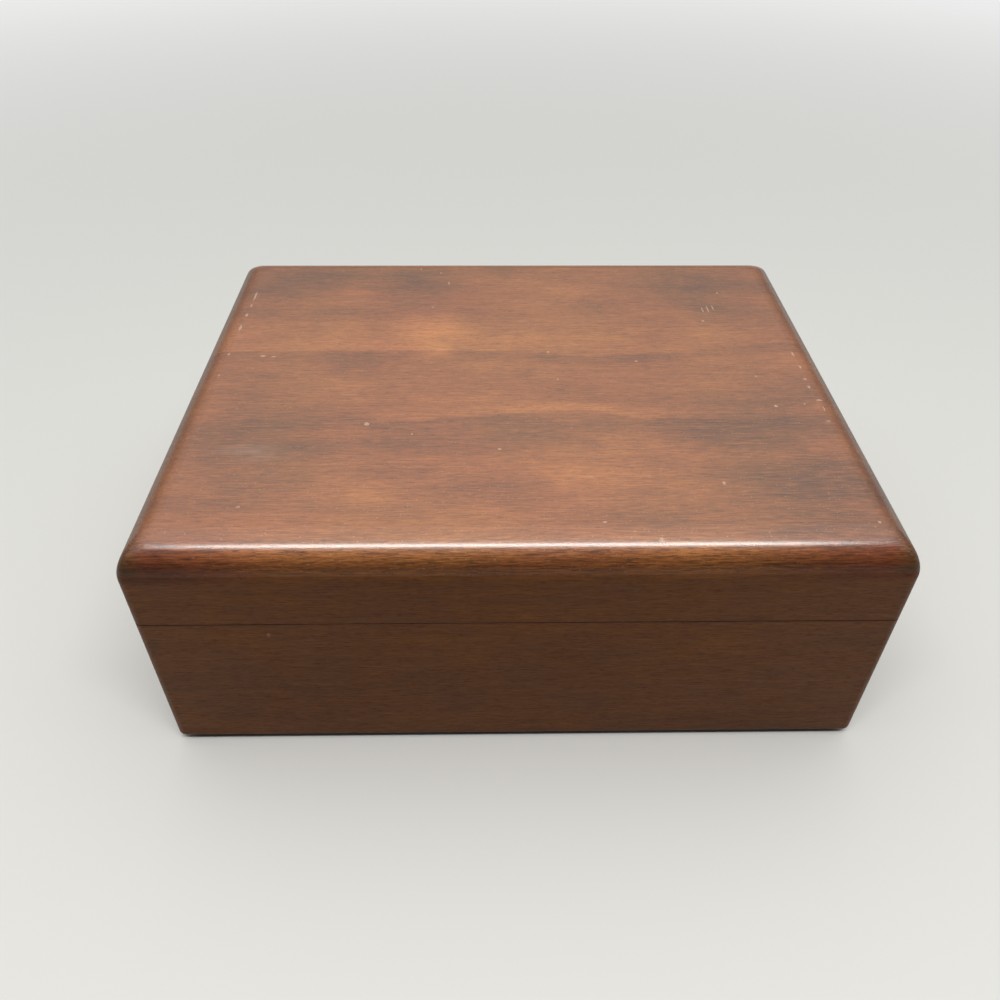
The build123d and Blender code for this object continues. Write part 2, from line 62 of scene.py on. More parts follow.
# Faces of the lid's board and of the box, in millimetres of the CAD frame
LID_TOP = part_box("lid_top_board")[1].z / MM
LID_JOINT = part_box("lid_top_board")[0].z / MM
SIDE_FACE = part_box("base_right_wall")[1].x / MM
FRONT_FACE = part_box("base_front_wall")[0].y / MM
BACK_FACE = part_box("base_back_wall")[1].y / MM
SEAM = (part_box("base_front_wall")[1].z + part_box("lid_front_rail")[0].z) / 2 / MM

# The y that the edges of the lid's two pale layers bend away from
BACK_LAYER = 18.5
FRONT_LAYER = -41

# Soft patches in the figure of the lid's board: middle x and y, half length, half width, lighter or darker
LID_FIGURE = (
    (-42, 38, 27, 28, 1.0),
    (-76, 30, 60, 14, 0.4),
    (8, 30, 58, 14, 0.5),
    (20, 64, 28, 18, 0.3),
    (-36, 18, 11, 12, 0.45),
    (-82, 80, 17, 20, 0.3),
    (95, 42, 65, 15, 0.2),
    (35, 92, 42, 28, 0.2),
    (22, -78, 44, 15, 0.4),
    (-62, -90, 40, 12, 0.3),
    (-10, -105, 80, 10, 0.2),
    (-50, 86, 36, 32, -0.5),
    (-54, 98, 28, 20, -0.25),
    (-128, 86, 38, 44, -0.55),
    (105, 86, 60, 38, -0.65),
    (-95, 58, 30, 8, -0.2),
    (122, -84, 74, 52, -0.65),
    (88, -48, 46, 18, -0.3),
    (40, -102, 60, 14, -0.35),
    (45, -24, 50, 14, -0.25),
    (-122, -30, 50, 34, -0.25),
    (-92, 97, 38, 26, -0.5),
    (122, 56, 42, 26, -0.35),
    (110, -34, 70, 26, -0.4),
    (-114, -68, 50, 32, -0.5),
    (-110, -46, 66, 34, -0.3),
    (-70, 9, 52, 11, -0.35),
    (65, 12, 34, 6, -0.35),
    (26, -46, 84, 13, -0.4),
    (-40, -56, 70, 13, -0.25),
    (-6, -82, 40, 16, -0.3),
    (-6, 106, 30, 12, -0.25),
)

# Pale dings in the lid's finish: x and y, half width along x and along y
LID_DINGS = (
    (-136.3, 74.0, 0.5, 6.5),
    (-136.4, 64.0, 0.6, 2.2),
    (-136.8, 54.0, 0.9, 1.9),
    (-137.4, 41.0, 0.8, 3.6),
    (-137.6, 15.8, 0.9, 1.1),
    (-138.0, -2.8, 0.5, 0.8),
    (-120.7, 13.9, 1.8, 0.8),
    (-115.4, 13.4, 1.5, 0.6),
    (-49.4, 106.4, 0.6, 0.9),
    (-38.0, 101.4, 0.6, 1.0),
    (-33.1, 89.4, 0.4, 2.6),
    (-40.7, 62.3, 0.7, 0.8),
    (-64.9, -42.1, 1.4, 1.5),
    (-44.8, -49.5, 0.4, 1.0),
    (-7.2, -60.2, 0.9, 0.6),
    (17.4, 17.0, 0.7, 1.2),
    (20.7, -6.9, 0.4, 0.6),
    (59.4, 8.6, 1.0, 0.6),
    (112.8, 77.5, 0.5, 1.0),
    (101.2, 59.0, 0.4, 3.2),
    (104.0, 59.7, 0.4, 4.2),
    (107.0, 61.0, 0.4, 3.2),
    (99.3, 47.1, 0.9, 0.9),
    (114.3, -4.8, 0.9, 0.6),
    (117.4, -29.4, 1.0, 1.0),
    (137.1, 14.7, 0.5, 2.6),
    (137.3, 2.9, 0.6, 1.6),
    (136.7, -7.5, 1.2, 0.7),
    (136.7, -14.2, 0.8, 1.4),
    (138.2, -24.8, 1.7, 0.9),
    (130.9, -27.9, 0.7, 0.5),
    (138.4, -31.5, 0.5, 2.6),
    (137.8, -41.0, 1.4, 0.7),
    (82.5, -83.1, 0.8, 1.2),
    (52.9, -114.9, 1.6, 2.1),
    (137.4, -106.7, 0.8, 0.6),
    (32.1, -105.9, 1.0, 0.7),
    (-109.2, -96.2, 0.9, 0.6),
)

# Dings on the front: x and z, half width along x and along z
FRONT_DINGS = ((-99.9, 72.6, 1.1, 1.5), (-73.3, 62.3, 0.5, 0.5))

# The rubbed patch near the lid's front left corner: middle x and y, half length and half width
RUBBED_MIDDLE = (-112, -62)
RUBBED_REACH = (26, 10)

# The tone, from dark 0 to light 1, that has the middle colour
MIDDLE_TONE = 0.46

# The share of a font's size that its figures are high
FIGURE_SHARE = 0.7

# How often the felt's cut edge wanders, per metre
FRAYS = 170

# How many steps round a soft piece's corners and its edges
CORNER_STEPS = 5
EDGE_STEPS = 3

# The Mix node's sockets for its two colours and their mixture
FIRST_COLOUR, SECOND_COLOUR, MIXED_COLOUR = 6, 7, 2


def setting(kind, name, description, default, **limits):
    """A setting for the sidebar."""
    return kind(name=name, description=description, default=default, **limits)


def angle_setting(name, description, degrees):
    """An angle for the sidebar."""
    return setting(FloatProperty, name, description, math.radians(degrees), subtype="ANGLE")


# Colours, lengths and places in metres, shares from 0 to 1 and readings of the dial
colour_setting = partial(setting, FloatVectorProperty, size=3, min=0, max=1, subtype="COLOR")
length_setting = partial(setting, FloatProperty, unit="LENGTH", min=0, precision=5)
place_setting = partial(setting, FloatVectorProperty, size=3, precision=5, subtype="TRANSLATION")
share_setting = partial(setting, FloatProperty, min=0, max=1, subtype="FACTOR")
reading_setting = partial(setting, IntProperty, min=0, max=100)


class CaseWoodSettings(bpy.types.PropertyGroup):
    """Colours and gloss of the mahogany."""

    dark: colour_setting("Dark wood", "Darkest layers of the figure", (0.094, 0.035, 0.012))
    middle: colour_setting("Middle wood", "Most of the lid's board", (0.318, 0.102, 0.024))
    light: colour_setting("Light wood", "Lightest streaks of the figure", (0.62, 0.23, 0.058))
    pore: colour_setting("Pores", "Filled pores and dark flecks", (0.055, 0.018, 0.008))
    # Painted shade: this colour darkens the walls and rails, and the lid's board towards the joint.
    wall: colour_setting("Walls", "Colour that the walls and rails are shaded by", (0.47, 0.48, 0.44))
    # Painted shade on the lid's side and back edges.
    worn: colour_setting("Dark edges", "Colour that the lid's side edges are shaded by", (0.46, 0.56, 0.66))
    red: colour_setting("Red wood", "Colour that the redder wood is shaded by", (0.90, 0.74, 0.95))
    # Painted shade, tinted red, at the ends of the front's round-over and rail.
    ends: colour_setting("Red ends", "Colour that the round-over's ends are shaded by", (0.66, 0.52, 0.62))
    ding: colour_setting("Dings", "Bare pale wood in the dings", (0.62, 0.44, 0.33))
    lid_roughness: share_setting("Lid roughness", "Roughness of the wood under the lid's lacquer", 0.38)
    coat_roughness: share_setting("Lacquer roughness", "Roughness of the rubbed lacquer on the lid", 0.20)
    wall_roughness: share_setting("Wall roughness", "Roughness of the duller walls", 0.46)
    pore_depth: length_setting("Pore depth", "How deep the pores lie in the finish", 0.00002)


class LiningWoodSettings(bpy.types.PropertyGroup):
    """Colours of the unfinished cedar."""

    dark: colour_setting("Dark cedar", "Late wood and pores", (0.25, 0.095, 0.045))
    light: colour_setting("Light cedar", "Early wood", (0.56, 0.285, 0.15))
    resin: colour_setting("Resin", "Specks of resin", (0.10, 0.04, 0.02))
    roughness: share_setting("Roughness", "Roughness of the planed wood", 0.7)
    pore_depth: length_setting("Pore depth", "How deep the open pores are", 0.00012)


class HardwareSettings(bpy.types.PropertyGroup):
    """Colours of the brass, steel, plating and plastic."""

    brass: colour_setting("Brass", "Clean brass", (0.78, 0.56, 0.24))
    tarnish: colour_setting("Tarnish", "Brown film on old brass", (0.30, 0.17, 0.065))
    steel: colour_setting("Steel", "Brushed steel", (0.56, 0.56, 0.55))
    dull_steel: colour_setting("Dull steel", "Film on the steel", (0.28, 0.25, 0.22))
    plating: colour_setting("Plating", "Nickel on the magnets", (0.72, 0.71, 0.69))
    dull_plating: colour_setting("Dull plating", "Film on the nickel", (0.4, 0.38, 0.35))
    plastic: colour_setting("Plastic", "The humidifier's case", (0.018, 0.017, 0.016))
    dust: colour_setting("Dust", "Dust on the plastic", (0.30, 0.27, 0.23))
    roughness: share_setting("Roughness", "Roughness of the hinges and the grille", 0.24)


class SoftSettings(bpy.types.PropertyGroup):
    """Colours and sizes of the felt and the foam."""

    felt: colour_setting("Felt", "Dark felt under the box", (0.009, 0.0045, 0.0025))
    lint: colour_setting("Lint", "Pale specks on the felt", (0.35, 0.3, 0.25))
    foam: colour_setting("Foam", "Water foam in the humidifier", (0.09, 0.21, 0.10))
    felt_inset: length_setting("Felt inset", "How far the felt stays inside the pad's box", 0.0004)
    felt_corner: length_setting("Felt corner", "Radius of the felt's corners", 0.0012)
    felt_edge: length_setting("Felt edge", "Radius of the felt's cut edge", 0.0007)
    felt_grid: length_setting("Felt grid", "Distance between the points of the felt's mesh", 0.004)
    felt_fray: length_setting("Felt fray", "How far the felt's cut edge wanders", 0.00035)
    foam_corner: length_setting("Foam corner", "Radius of the foam's corners", 0.003)
    foam_edge: length_setting("Foam edge", "Radius of the foam's edges", 0.0008)
    foam_pit: length_setting("Foam pits", "Depth of the foam's open cells", 0.0004)
    foam_grid: length_setting("Foam grid", "Distance between the points of the foam's mesh", 0.0009)


class DialSettings(bpy.types.PropertyGroup):
    """Colours and sizes of the hygrometer's face."""

    enamel: colour_setting("Enamel", "Dial face", (0.80, 0.77, 0.66))
    yellowed: colour_setting("Yellowed", "Old enamel near the rim", (0.52, 0.40, 0.22))
    specks: colour_setting("Specks", "Brown specks in the enamel", (0.30, 0.2, 0.1))
    ink: colour_setting("Ink", "Numbers and marks", (0.018, 0.016, 0.014))
    zone: colour_setting("Zone", "Arc over the readings that suit cigars", (0.36, 0.045, 0.025))
    pointer: colour_setting("Pointer", "Blued steel", (0.025, 0.035, 0.075))
    numeral_height: length_setting("Numeral height", "Height of the numbers", 0.0031)
    numeral_radius: length_setting("Numeral radius", "Middle of the numbers from the dial's middle", 0.0133)
    track_radius: length_setting("Track radius", "Circle that the marks stand on", 0.0187)
    track_width: length_setting("Track width", "Width of the line along that circle", 0.0002)
    long_mark: length_setting("Long mark", "Length of the mark at each tenth", 0.0021)
    long_width: length_setting("Long mark's width", "Width of the mark at each tenth", 0.00028)
    short_mark: length_setting("Short mark", "Length of the other marks", 0.0012)
    short_width: length_setting("Short mark's width", "Width of the other marks", 0.00014)
    zone_inner: length_setting("Zone inside", "Inner edge of the zone, from the circle of marks", 0.0006)
    zone_outer: length_setting("Zone outside", "Outer edge of the zone, from the circle of marks", 0.0014)
    zone_start: reading_setting("Zone start", "Lowest reading of the zone", 65)
    zone_end: reading_setting("Zone end", "Highest reading of the zone", 72)
    ink_height: length_setting("Ink height", "How far the print stands off the dial", 0.00004)
    steps: setting(IntProperty, "Marks", "Spaces between marks from 0 to 100", 50, min=10, max=100)


class StudioSettings(bpy.types.PropertyGroup):
    """Floor, room, lamp and camera."""

    floor: colour_setting("Floor", "Pale floor as it is seen", (0.68, 0.67, 0.65))
    bounce: colour_setting("Bounce", "Floor as it lights the box", (0.13, 0.115, 0.10))
    floor_reach: length_setting("Floor reach", "Half width of the floor", 6.0)
    fade_start: length_setting("Fade start", "Where the floor starts to fade into the backdrop", 0.25)
    fade_end: length_setting("Fade end", "Where the floor is as pale as the backdrop", 2.2)
    sky: colour_setting("Room colour", "Colour of the light from the room", (0.96, 0.985, 0.97))
    front: share_setting("Front", "Brightness of the room in front of the box", 0.08)
    low: share_setting("Low", "Brightness near the floor behind the box, over that in front", 0.12)
    high: setting(FloatProperty, "High", "Brightness overhead, over that near the floor", 1.2, min=0)
    backdrop: share_setting("Backdrop", "Brightness of the room as it is seen", 0.90)
    strip: setting(FloatProperty, "Strip lamp", "Power of the strip lamp", 10.2, min=0, unit="POWER")
    strip_colour: colour_setting("Strip colour", "Colour of the strip lamp", (1, 0.985, 0.965))
    strip_width: length_setting("Strip width", "Width of the strip lamp", 0.15)
    strip_length: length_setting("Strip length", "Length of the strip lamp", 1.24)
    strip_place: place_setting("Strip place", "Middle of the strip lamp", (0.025, -0.54, 1.26))
    strip_target: place_setting("Strip target", "What the strip lamp faces", (0.025, -0.12, 0.11))
    camera: place_setting("Camera", "Place of the camera", (-0.01292, -0.34648, 0.33865))
    tilt: angle_setting("Tilt", "How far the camera looks down", 41.08)
    turn: angle_setting("Turn", "How far the camera is turned to the left", -1.18)
    roll: angle_setting("Roll", "How far the camera leans", 0.5)
    lens: setting(FloatProperty, "Lens", "Focal length in millimetres", 30.92, min=1)


class Field:
    """One output of a finish's node. Sums and products of fields add Math nodes."""

    def __init__(self, finish, socket):
        self.finish = finish
        self.socket = socket

    def math(self, operation, *values):
        return self.finish.node("ShaderNodeMath", {"operation": operation}, dict(enumerate(values)))

    def __add__(self, other):
        return self.math("ADD", self, other)

    __radd__ = __add__

    def __sub__(self, other):
        return self.math("SUBTRACT", self, other)

    def __rsub__(self, other):
        return self.math("SUBTRACT", other, self)

    def __mul__(self, other):
        return self.math("MULTIPLY", self, other)

    __rmul__ = __mul__

    def __abs__(self):
        return self.math("ABSOLUTE", self)

    def larger(self, other):
        return self.math("MAXIMUM", self, other)

    def smaller(self, other):
        return self.math("MINIMUM", self, other)

    def step(self, nothing, full):
        """0 where the field is at nothing, 1 where it is at full, and smooth in between."""
        return self.finish.node(
            "ShaderNodeMapRange", {"interpolation_type": "SMOOTHSTEP"}, {0: self, 1: nothing, 2: full}
        )

    def hump(self, middle, reach):
        """1 where the field is at middle, falling smoothly to 0 at reach from it."""
        return abs(self - middle).step(reach, 0)


class Finish:
    """A material or world under construction: its node tree and the methods that add to it."""

    def __init__(self, name, owner=None):
        self.owner = owner or bpy.data.materials.new(name)
        self.owner.use_nodes = True
        self.tree = self.owner.node_tree
        self.tree.nodes.clear()

    def node(self, kind, settings=None, inputs=None, output=0):
        """Adds a node with its settings, then sets or links its sockets, and returns one of its outputs."""
        made = self.tree.nodes.new(kind)
        for name, value in (settings or {}).items():
            if name == "stops":
                self.set_stops(made.color_ramp, value)
            else:
                setattr(made, name, value)
        for name, value in (inputs or {}).items():
            if isinstance(value, Field):
                self.tree.links.new(value.socket, made.inputs[name])
            else:
                made.inputs[name].default_value = value
        return Field(self, made.outputs[output]) if made.outputs else None

    def set_stops(self, ramp, stops):
        """Gives a ramp its positions and colours."""
        while len(ramp.elements) < len(stops):
            ramp.elements.new(0.5)
        for element, (position, colour) in zip(ramp.elements, stops):
            element.position = position
            element.color = (*colour, 1)

    def vector(self, operation, *values, output=0):
        return self.node("ShaderNodeVectorMath", {"operation": operation}, dict(enumerate(values)), output)

    def place(self, grain="x"):
        """Object coordinates in millimetres, turned so that the grain runs along x."""
        place = self.node("ShaderNodeTexCoord", output="Object")
        place = self.vector("MULTIPLY", place, (1 / MM,) * 3)
        if grain == "x":
            return place
        x, y, z = self.split(place)
        return self.join(y, x, z)

    def split(self, place):
        """The three coordinates of a place."""
        made = self.tree.nodes.new("ShaderNodeSeparateXYZ")
        self.tree.links.new(place.socket, made.inputs[0])
        return [Field(self, output) for output in made.outputs]

    def join(self, x, y, z):
        return self.node("ShaderNodeCombineXYZ", {}, {0: x, 1: y, 2: z})

    def scaled(self, place, size):
        """The place in units of the size along each axis."""
        return self.vector("MULTIPLY", place, [1 / s for s in size])

    def noise(self, place, size, detail=0.0, roughness=0.5, output=0):
        """Smooth noise whose features are about as large as size, along each axis, in millimetres."""
        place = self.scaled(place, size)
        sockets = {"Scale": 1.0, "Detail": detail, "Roughness": roughness, "Vector": place}
        return self.node("ShaderNodeTexNoise", {}, sockets, output)

    def cells(self, place, size):
        """Distance to the nearest point of scattered cells of that size."""
        sockets = {"Scale": 1.0, "Vector": self.scaled(place, size)}
        return self.node("ShaderNodeTexVoronoi", {"feature": "F1"}, sockets)

    def away(self, place, middle, reach):
        """Distance from middle, in units of reach along each axis."""
        scale = [1 / r for r in reach]
        offset = [-m / r for m, r in zip(middle, reach)]
        moved = self.vector("MULTIPLY_ADD", place, scale, offset)
        return self.vector("LENGTH", moved, output="Value")

    def wander(self, place, size, amount):
        """The place, shifted about by noise of that size."""
        drift = self.noise(place, size, detail=1.0, output="Color")
        centred = self.vector("SUBTRACT", drift, (0.5, 0.5, 0.5))
        return self.vector("MULTIPLY_ADD", centred, amount, place)

    def ramp(self, value, stops):
        return self.node("ShaderNodeValToRGB", {"stops": stops}, {0: value})

    def mix(self, share, first, second, blend="MIX"):
        """The first colour where share is 0 and the second where it is 1."""
        first, second = (c if isinstance(c, Field) else (*c, 1) for c in (first, second))
        settings = {"data_type": "RGBA", "blend_type": blend}
        sockets = {0: share, FIRST_COLOUR: first, SECOND_COLOUR: second}
        return self.node("ShaderNodeMix", settings, sockets, MIXED_COLOUR)

    def tint(self, colour, by, share=1.0):
        """The colour where share is 0, and multiplied by another where it is 1."""
        return self.mix(share, colour, by, "MULTIPLY")

    def bump(self, height, depth):
        """A normal for a surface whose height from 0 to 1 is that many metres."""
        return self.node("ShaderNodeBump", {}, {"Height": height, "Distance": depth, "Strength": 1.0})

    def surface(self, sockets):
        """Ends the finish in one Principled shader."""
        shader = self.node("ShaderNodeBsdfPrincipled", {}, sockets)
        self.node("ShaderNodeOutputMaterial", {}, {"Surface": shader})
        return self.owner


Grain = namedtuple("Grain", "bands lines fibres flecks pores glints")


def layer_edge(above, light, light_fade, dark, dark_fade):
    """Wood lighter just above a layer's ragged edge and darker just below it, both fading away from it."""
    lighter = light * above.step(-1.0, 1.4) * above.step(*light_fade)
    darker = dark * above.step(1.2, -2.4) * above.step(*dark_fade)
    return lighter - darker


def lid_figure(finish, place):
    """How much lighter or darker than the middle colour the lid's board is, and where its layers end."""
    drifting = finish.wander(place, (60, 24, EVERYWHERE), (16, 6, 0))
    drifting = finish.wander(drifting, (14, 5, EVERYWHERE), (6, 3, 0))
    figure = 0.0
    for x, y, length, width, change in LID_FIGURE:
        patch = finish.away(drifting, (x, y, 0), (length, width, EVERYWHERE)).step(1, 0)
        figure = patch * change + figure
    ragged = finish.wander(place, (40, 12, EVERYWHERE), (0, 2.4, 0))
    x, y, _ = finish.split(finish.wander(ragged, (9, 1.6, EVERYWHERE), (0, 2.2, 0)))
    above_back = y - (BACK_LAYER - 6 * x.hump(42, 46) + 7 * x.step(75, 150))
    above_front = y - (FRONT_LAYER + 8 * x.step(-72, 25) - 6 * x.step(28, 60) + 3 * x.step(97, 145))
    shown = x.step(-78, -50) * (1 - 0.5 * x.step(30, 90))
    figure = figure + layer_edge(above_back, 0.34 - 0.16 * x.step(-20, 40), (20, 1), 0.2, (-14, 0))
    return figure + layer_edge(above_front, 0.4 * shown, (11, 3), 0.22 * shown, (-15, 0))


def wood_grain(finish, place):
    """The parts of a board's figure, each from 0 to 1."""
    x, y, z = finish.split(finish.wander(place, (70, 30, 30), (0, 5, 5)))
    layers = finish.join(x, y + 0.4 * z, z * 0.3)
    elsewhere = finish.vector("ADD", place, (300, 0, 0))
    return Grain(
        bands=finish.noise(layers, (90, 14, 30), detail=2.0),
        lines=finish.noise(layers, (60, 1.5, 5), detail=3.0, roughness=0.6),
        fibres=finish.noise(place, (11, 0.55, 0.55), detail=2.0, roughness=0.65),
        flecks=finish.noise(place, (6, 0.6, 0.6)).step(0.56, 0.70),
        pores=finish.noise(place, (2.6, 0.2, 0.2)).step(0.60, 0.70),
        glints=finish.noise(elsewhere, (7, 0.7, 0.7)).step(0.56, 0.72),
    )


def on_lid(x, y, half_length, half_width):
    """Middle and reach of a ding in the lid's top."""
    return (x, y, LID_TOP), (half_length, half_width, 6)


def on_front(x, z, half_length, half_height):
    """Middle and reach of a ding in the front."""
    return (x, FRONT_FACE, z), (half_length, 2, half_height)


def ding_mask(finish, place, dings, face):
    """1 in the pale dings, whose middle and reach the face works out from their four numbers."""
    jagged = finish.wander(place, (0.9, 0.9, 0.9), (1.1, 1.1, 1.1))
    nearest = None
    for ding in dings:
        distance = finish.away(jagged, *face(*ding))
        nearest = distance if nearest is None else nearest.smaller(distance)
    flaked = finish.noise(place, (0.5, 0.3, 0.5), detail=1.0).step(0.36, 0.56)
    return nearest.step(1.0, 0.5) * flaked


def wood_tone(grain, clouds, rounded=0.0):
    """How light the mahogany is. Fibres show more on the lid's rounded edge."""
    tone = MIDDLE_TONE + 0.34 * (grain.bands - 0.5) + 0.34 * (grain.lines - 0.5) + 0.3 * (clouds - 0.5)
    return tone + (0.6 + 0.9 * rounded) * (grain.fibres - 0.5)


def wood_colour(finish, tone, grain, settings, rounded=0.0):
    """Mahogany of that tone with its glints, flecks and pores."""
    dark, middle, light = settings.dark, settings.middle, settings.light
    colour = finish.ramp(tone, ((0.05, dark), (MIDDLE_TONE, middle), (1.0, light)))
    colour = finish.mix(0.14 * grain.glints, colour, light)
    colour = finish.mix((0.24 + 0.2 * rounded) * grain.flecks, colour, settings.pore)
    return finish.mix((0.32 + 0.3 * rounded) * grain.pores, colour, settings.pore)


def red_ends(finish, place):
    """1 at the two ends of the front's round-over and of the rail's top edge, where painted shade, tinted
    red, darkens the wood.
    """
    x, y, z = finish.split(place)
    upright = z.step(LID_TOP - 0.5, LID_TOP - 3) * z.step(LID_JOINT - 6, LID_JOINT - 1)
    outward = abs(x).step(SIDE_FACE - 72.5, SIDE_FACE - 7.5)
    return upright * outward * y.step(FRONT_FACE + 18.5, FRONT_FACE + 12.5)


def mahogany_surface(finish, colour, grain, dings, rough, specular, lacquer, settings):
    """Ends a mahogany finish with its dings, pores and lacquer."""
    height = 1 - 0.55 * grain.pores - 0.2 * grain.flecks + 0.25 * grain.fibres - 0.5 * dings
    return finish.surface({
        "Base Color": finish.mix(0.85 * dings, colour, settings.ding),
        "Roughness": rough + 0.2 * grain.pores + 0.2 * dings,
        "Specular IOR Level": specular,
        "Coat Weight": lacquer,
        "Coat Roughness": settings.coat_roughness,
        "Coat IOR": 1.7,
        "Normal": finish.bump(height, settings.pore_depth),
    })


def wall_mahogany(name, along, settings):
    """Dull mahogany of the walls, rails and bottom, darkened by painted shade, with painted shade along the
    seam. Boards along x have the front's dings and painted shade, tinted red, at their ends.
    """
    finish = Finish(name)
    place = finish.place(along)
    grain = wood_grain(finish, place)
    clouds = finish.noise(place, (26, 18, 18), detail=2.0)
    z = finish.split(place)[2]
    # Painted shade: the walls and rails are darker than the lid's board.
    colour = finish.tint(wood_colour(finish, wood_tone(grain, clouds), grain, settings), settings.wall)
    dings = 0.0
    if along == "x":
        # Painted shade, tinted red, at the ends of the rail's top edge.
        colour = finish.tint(colour, settings.ends, red_ends(finish, place))
        dings = 0.3 * ding_mask(finish, place, FRONT_DINGS, on_front)
    # Painted shade along the seam between the base and the lid.
    colour = finish.mix(0.7 * z.hump(SEAM, 1.1), colour, settings.pore)
    rough = settings.wall_roughness + 0.15 * (clouds - 0.5)
    return mahogany_surface(finish, colour, grain, dings, rough, 0.22, 0.0, settings)


def lid_mahogany(name, settings):
    """Lacquered mahogany of the lid's board, with its own figure, wear, dust and dings, a painted lighter
    band on the upper round-over, and painted shade towards the joint, on the side and back edges and at the
    front's ends.
    """
    finish = Finish(name)
    place = finish.place()
    grain = wood_grain(finish, place)
    clouds = finish.noise(place, (26, 18, 18), detail=2.0)
    x, y, z = finish.split(place)
    rounded = z.step(LID_TOP - 0.5, LID_TOP - 3) * z.step(LID_JOINT, LID_JOINT + 3)
    # A painted lighter band on the upper round-over, added to the board's figure.
    lighter = 0.4 * lid_figure(finish, place) + 0.12 * z.hump(LID_TOP - 4.5, 4.5)
    tone = wood_tone(grain, clouds, rounded) + lighter
    colour = wood_colour(finish, tone, grain, settings, rounded)

    in_patch = finish.away(place, (*RUBBED_MIDDLE, 0), (*RUBBED_REACH, EVERYWHERE)).step(1, 0)
    rubbed = in_patch * clouds.step(0.4, 0.62)
    colour = finish.mix(0.2 * rubbed, colour, settings.ding)
    dust = finish.noise(place, (0.8, 0.8, 0.8)).step(0.74, 0.80)
    colour = finish.mix(0.25 * dust, colour, settings.ding)

    near_sides = abs(x).step(SIDE_FACE - 57.5, SIDE_FACE - 17.5)
    redder = finish.noise(place, (90, 60, 60)).step(0.42, 0.66).larger(0.8 * near_sides)
    colour = finish.tint(colour, settings.red, 0.4 * redder)
    # Painted shade: the board darkens towards the joint as its round-over turns upright.
    colour = finish.tint(colour, settings.wall, z.step(LID_TOP - 2, LID_JOINT + 2))
    # Painted shade on the lid's rounded side and back edges, where the lacquer is also thinner.
    side = abs(x).step(SIDE_FACE - 13.5, SIDE_FACE - 4.5)
    worn = side.larger(0.7 * y.step(BACK_FACE - 12.5, BACK_FACE - 3.5))
    colour = finish.tint(colour, settings.worn, worn)
    # Painted shade, tinted red, at the two ends of the front's round-over.
    ends = red_ends(finish, place) * (1 - worn)
    colour = finish.tint(colour, settings.ends, ends)

    dings = ding_mask(finish, place, LID_DINGS, on_lid)
    rough = settings.lid_roughness + 0.10 * (clouds - 0.4) + 0.12 * rubbed
    lacquer = (0.1 + 0.9 * z.step(LID_TOP - 9, LID_TOP - 4)) * (1 - 0.8 * worn.larger(0.4 * ends))
    lacquer = lacquer * (1 - 0.3 * rubbed) * (1 - 0.5 * dings)
    return mahogany_surface(finish, colour, grain, dings, rough, 0.3, lacquer, settings)


def cedar(name, along, settings):
    """Unfinished Spanish cedar: open pores, soft bands and a few resin flecks."""
    finish = Finish(name)
    place = finish.place(along)
    grain = wood_grain(finish, place)
    tone = 0.62 + 0.7 * (grain.bands - 0.5) + 0.6 * (grain.lines - 0.5) + 0.45 * (grain.fibres - 0.5)
    colour = finish.ramp(tone, ((0.1, settings.dark), (0.85, settings.light)))
    colour = finish.mix(0.35 * grain.flecks + 0.4 * grain.pores, colour, settings.dark)
    resin = finish.cells(place, (16, 9, 9)).step(0.07, 0.02)
    height = 1 - 0.6 * grain.pores - 0.3 * grain.flecks + 0.3 * grain.fibres
    return finish.surface({
        "Base Color": finish.mix(0.6 * resin, colour, settings.resin),
        "Roughness": settings.roughness + 0.15 * (grain.fibres - 0.5) - 0.3 * resin,
        "Specular IOR Level": 0.25,
        "Normal": finish.bump(height, settings.pore_depth),
    })


def metal(name, clean, film, roughness, brushed, film_share):
    """A metal with fine scratches along one axis and a film of tarnish in clouds."""
    finish = Finish(name)
    place = finish.place()
    clouds = finish.noise(place, (7, 7, 7), detail=4.0, roughness=0.6)
    spots = finish.noise(place, (1.3, 1.3, 1.3), detail=2.0)
    dull = film_share * clouds.step(0.42, 0.72) + 0.35 * spots.step(0.62, 0.74)
    scratches = finish.noise(place, brushed, detail=1.0)
    return finish.surface({
        "Base Color": finish.mix(dull, clean, film),
        "Metallic": 1 - 0.25 * dull,
        "Roughness": roughness + 0.22 * dull + 0.12 * (scratches - 0.5),
        "Normal": finish.bump(0.6 * scratches + 0.4 * spots, 0.000012),
    })


def moulded(name, colour, dust_colour):
    """Matt black moulded plastic with a fine cast grain and a little dust."""
    finish = Finish(name)
    place = finish.place()
    grain = finish.noise(place, (0.35, 0.35, 0.35), detail=1.0)
    dust = finish.noise(place, (9, 9, 9), detail=4.0, roughness=0.7).step(0.48, 0.8)
    return finish.surface({
        "Base Color": finish.mix(0.25 * dust, colour, dust_colour),
        "Roughness": 0.5 + 0.25 * dust,
        "Normal": finish.bump(grain, 0.00003),
    })


def felt(name, colour, lint_colour):
    """Pressed felt: tangled hairs and lint."""
    finish = Finish(name)
    place = finish.place()
    hairs = finish.noise(finish.wander(place, (2, 2, 2), (3, 3, 3)), (1.6, 0.14, 0.4), detail=2.0)
    crossing = finish.noise(finish.wander(place, (2.4, 2.4, 2.4), (3, 3, 3)), (0.14, 1.6, 0.4), detail=2.0)
    nap = hairs.larger(crossing)
    lint = finish.cells(place, (7, 4, 4)).step(0.06, 0.02)
    shade = finish.mix(nap.step(0.45, 0.75), [0.5 * c for c in colour], [2.0 * c for c in colour])
    return finish.surface({
        "Base Color": finish.mix(0.3 * lint, shade, lint_colour),
        "Roughness": 0.95,
        "Specular IOR Level": 0.05,
        "Normal": finish.bump(nap, 0.0003),
    })


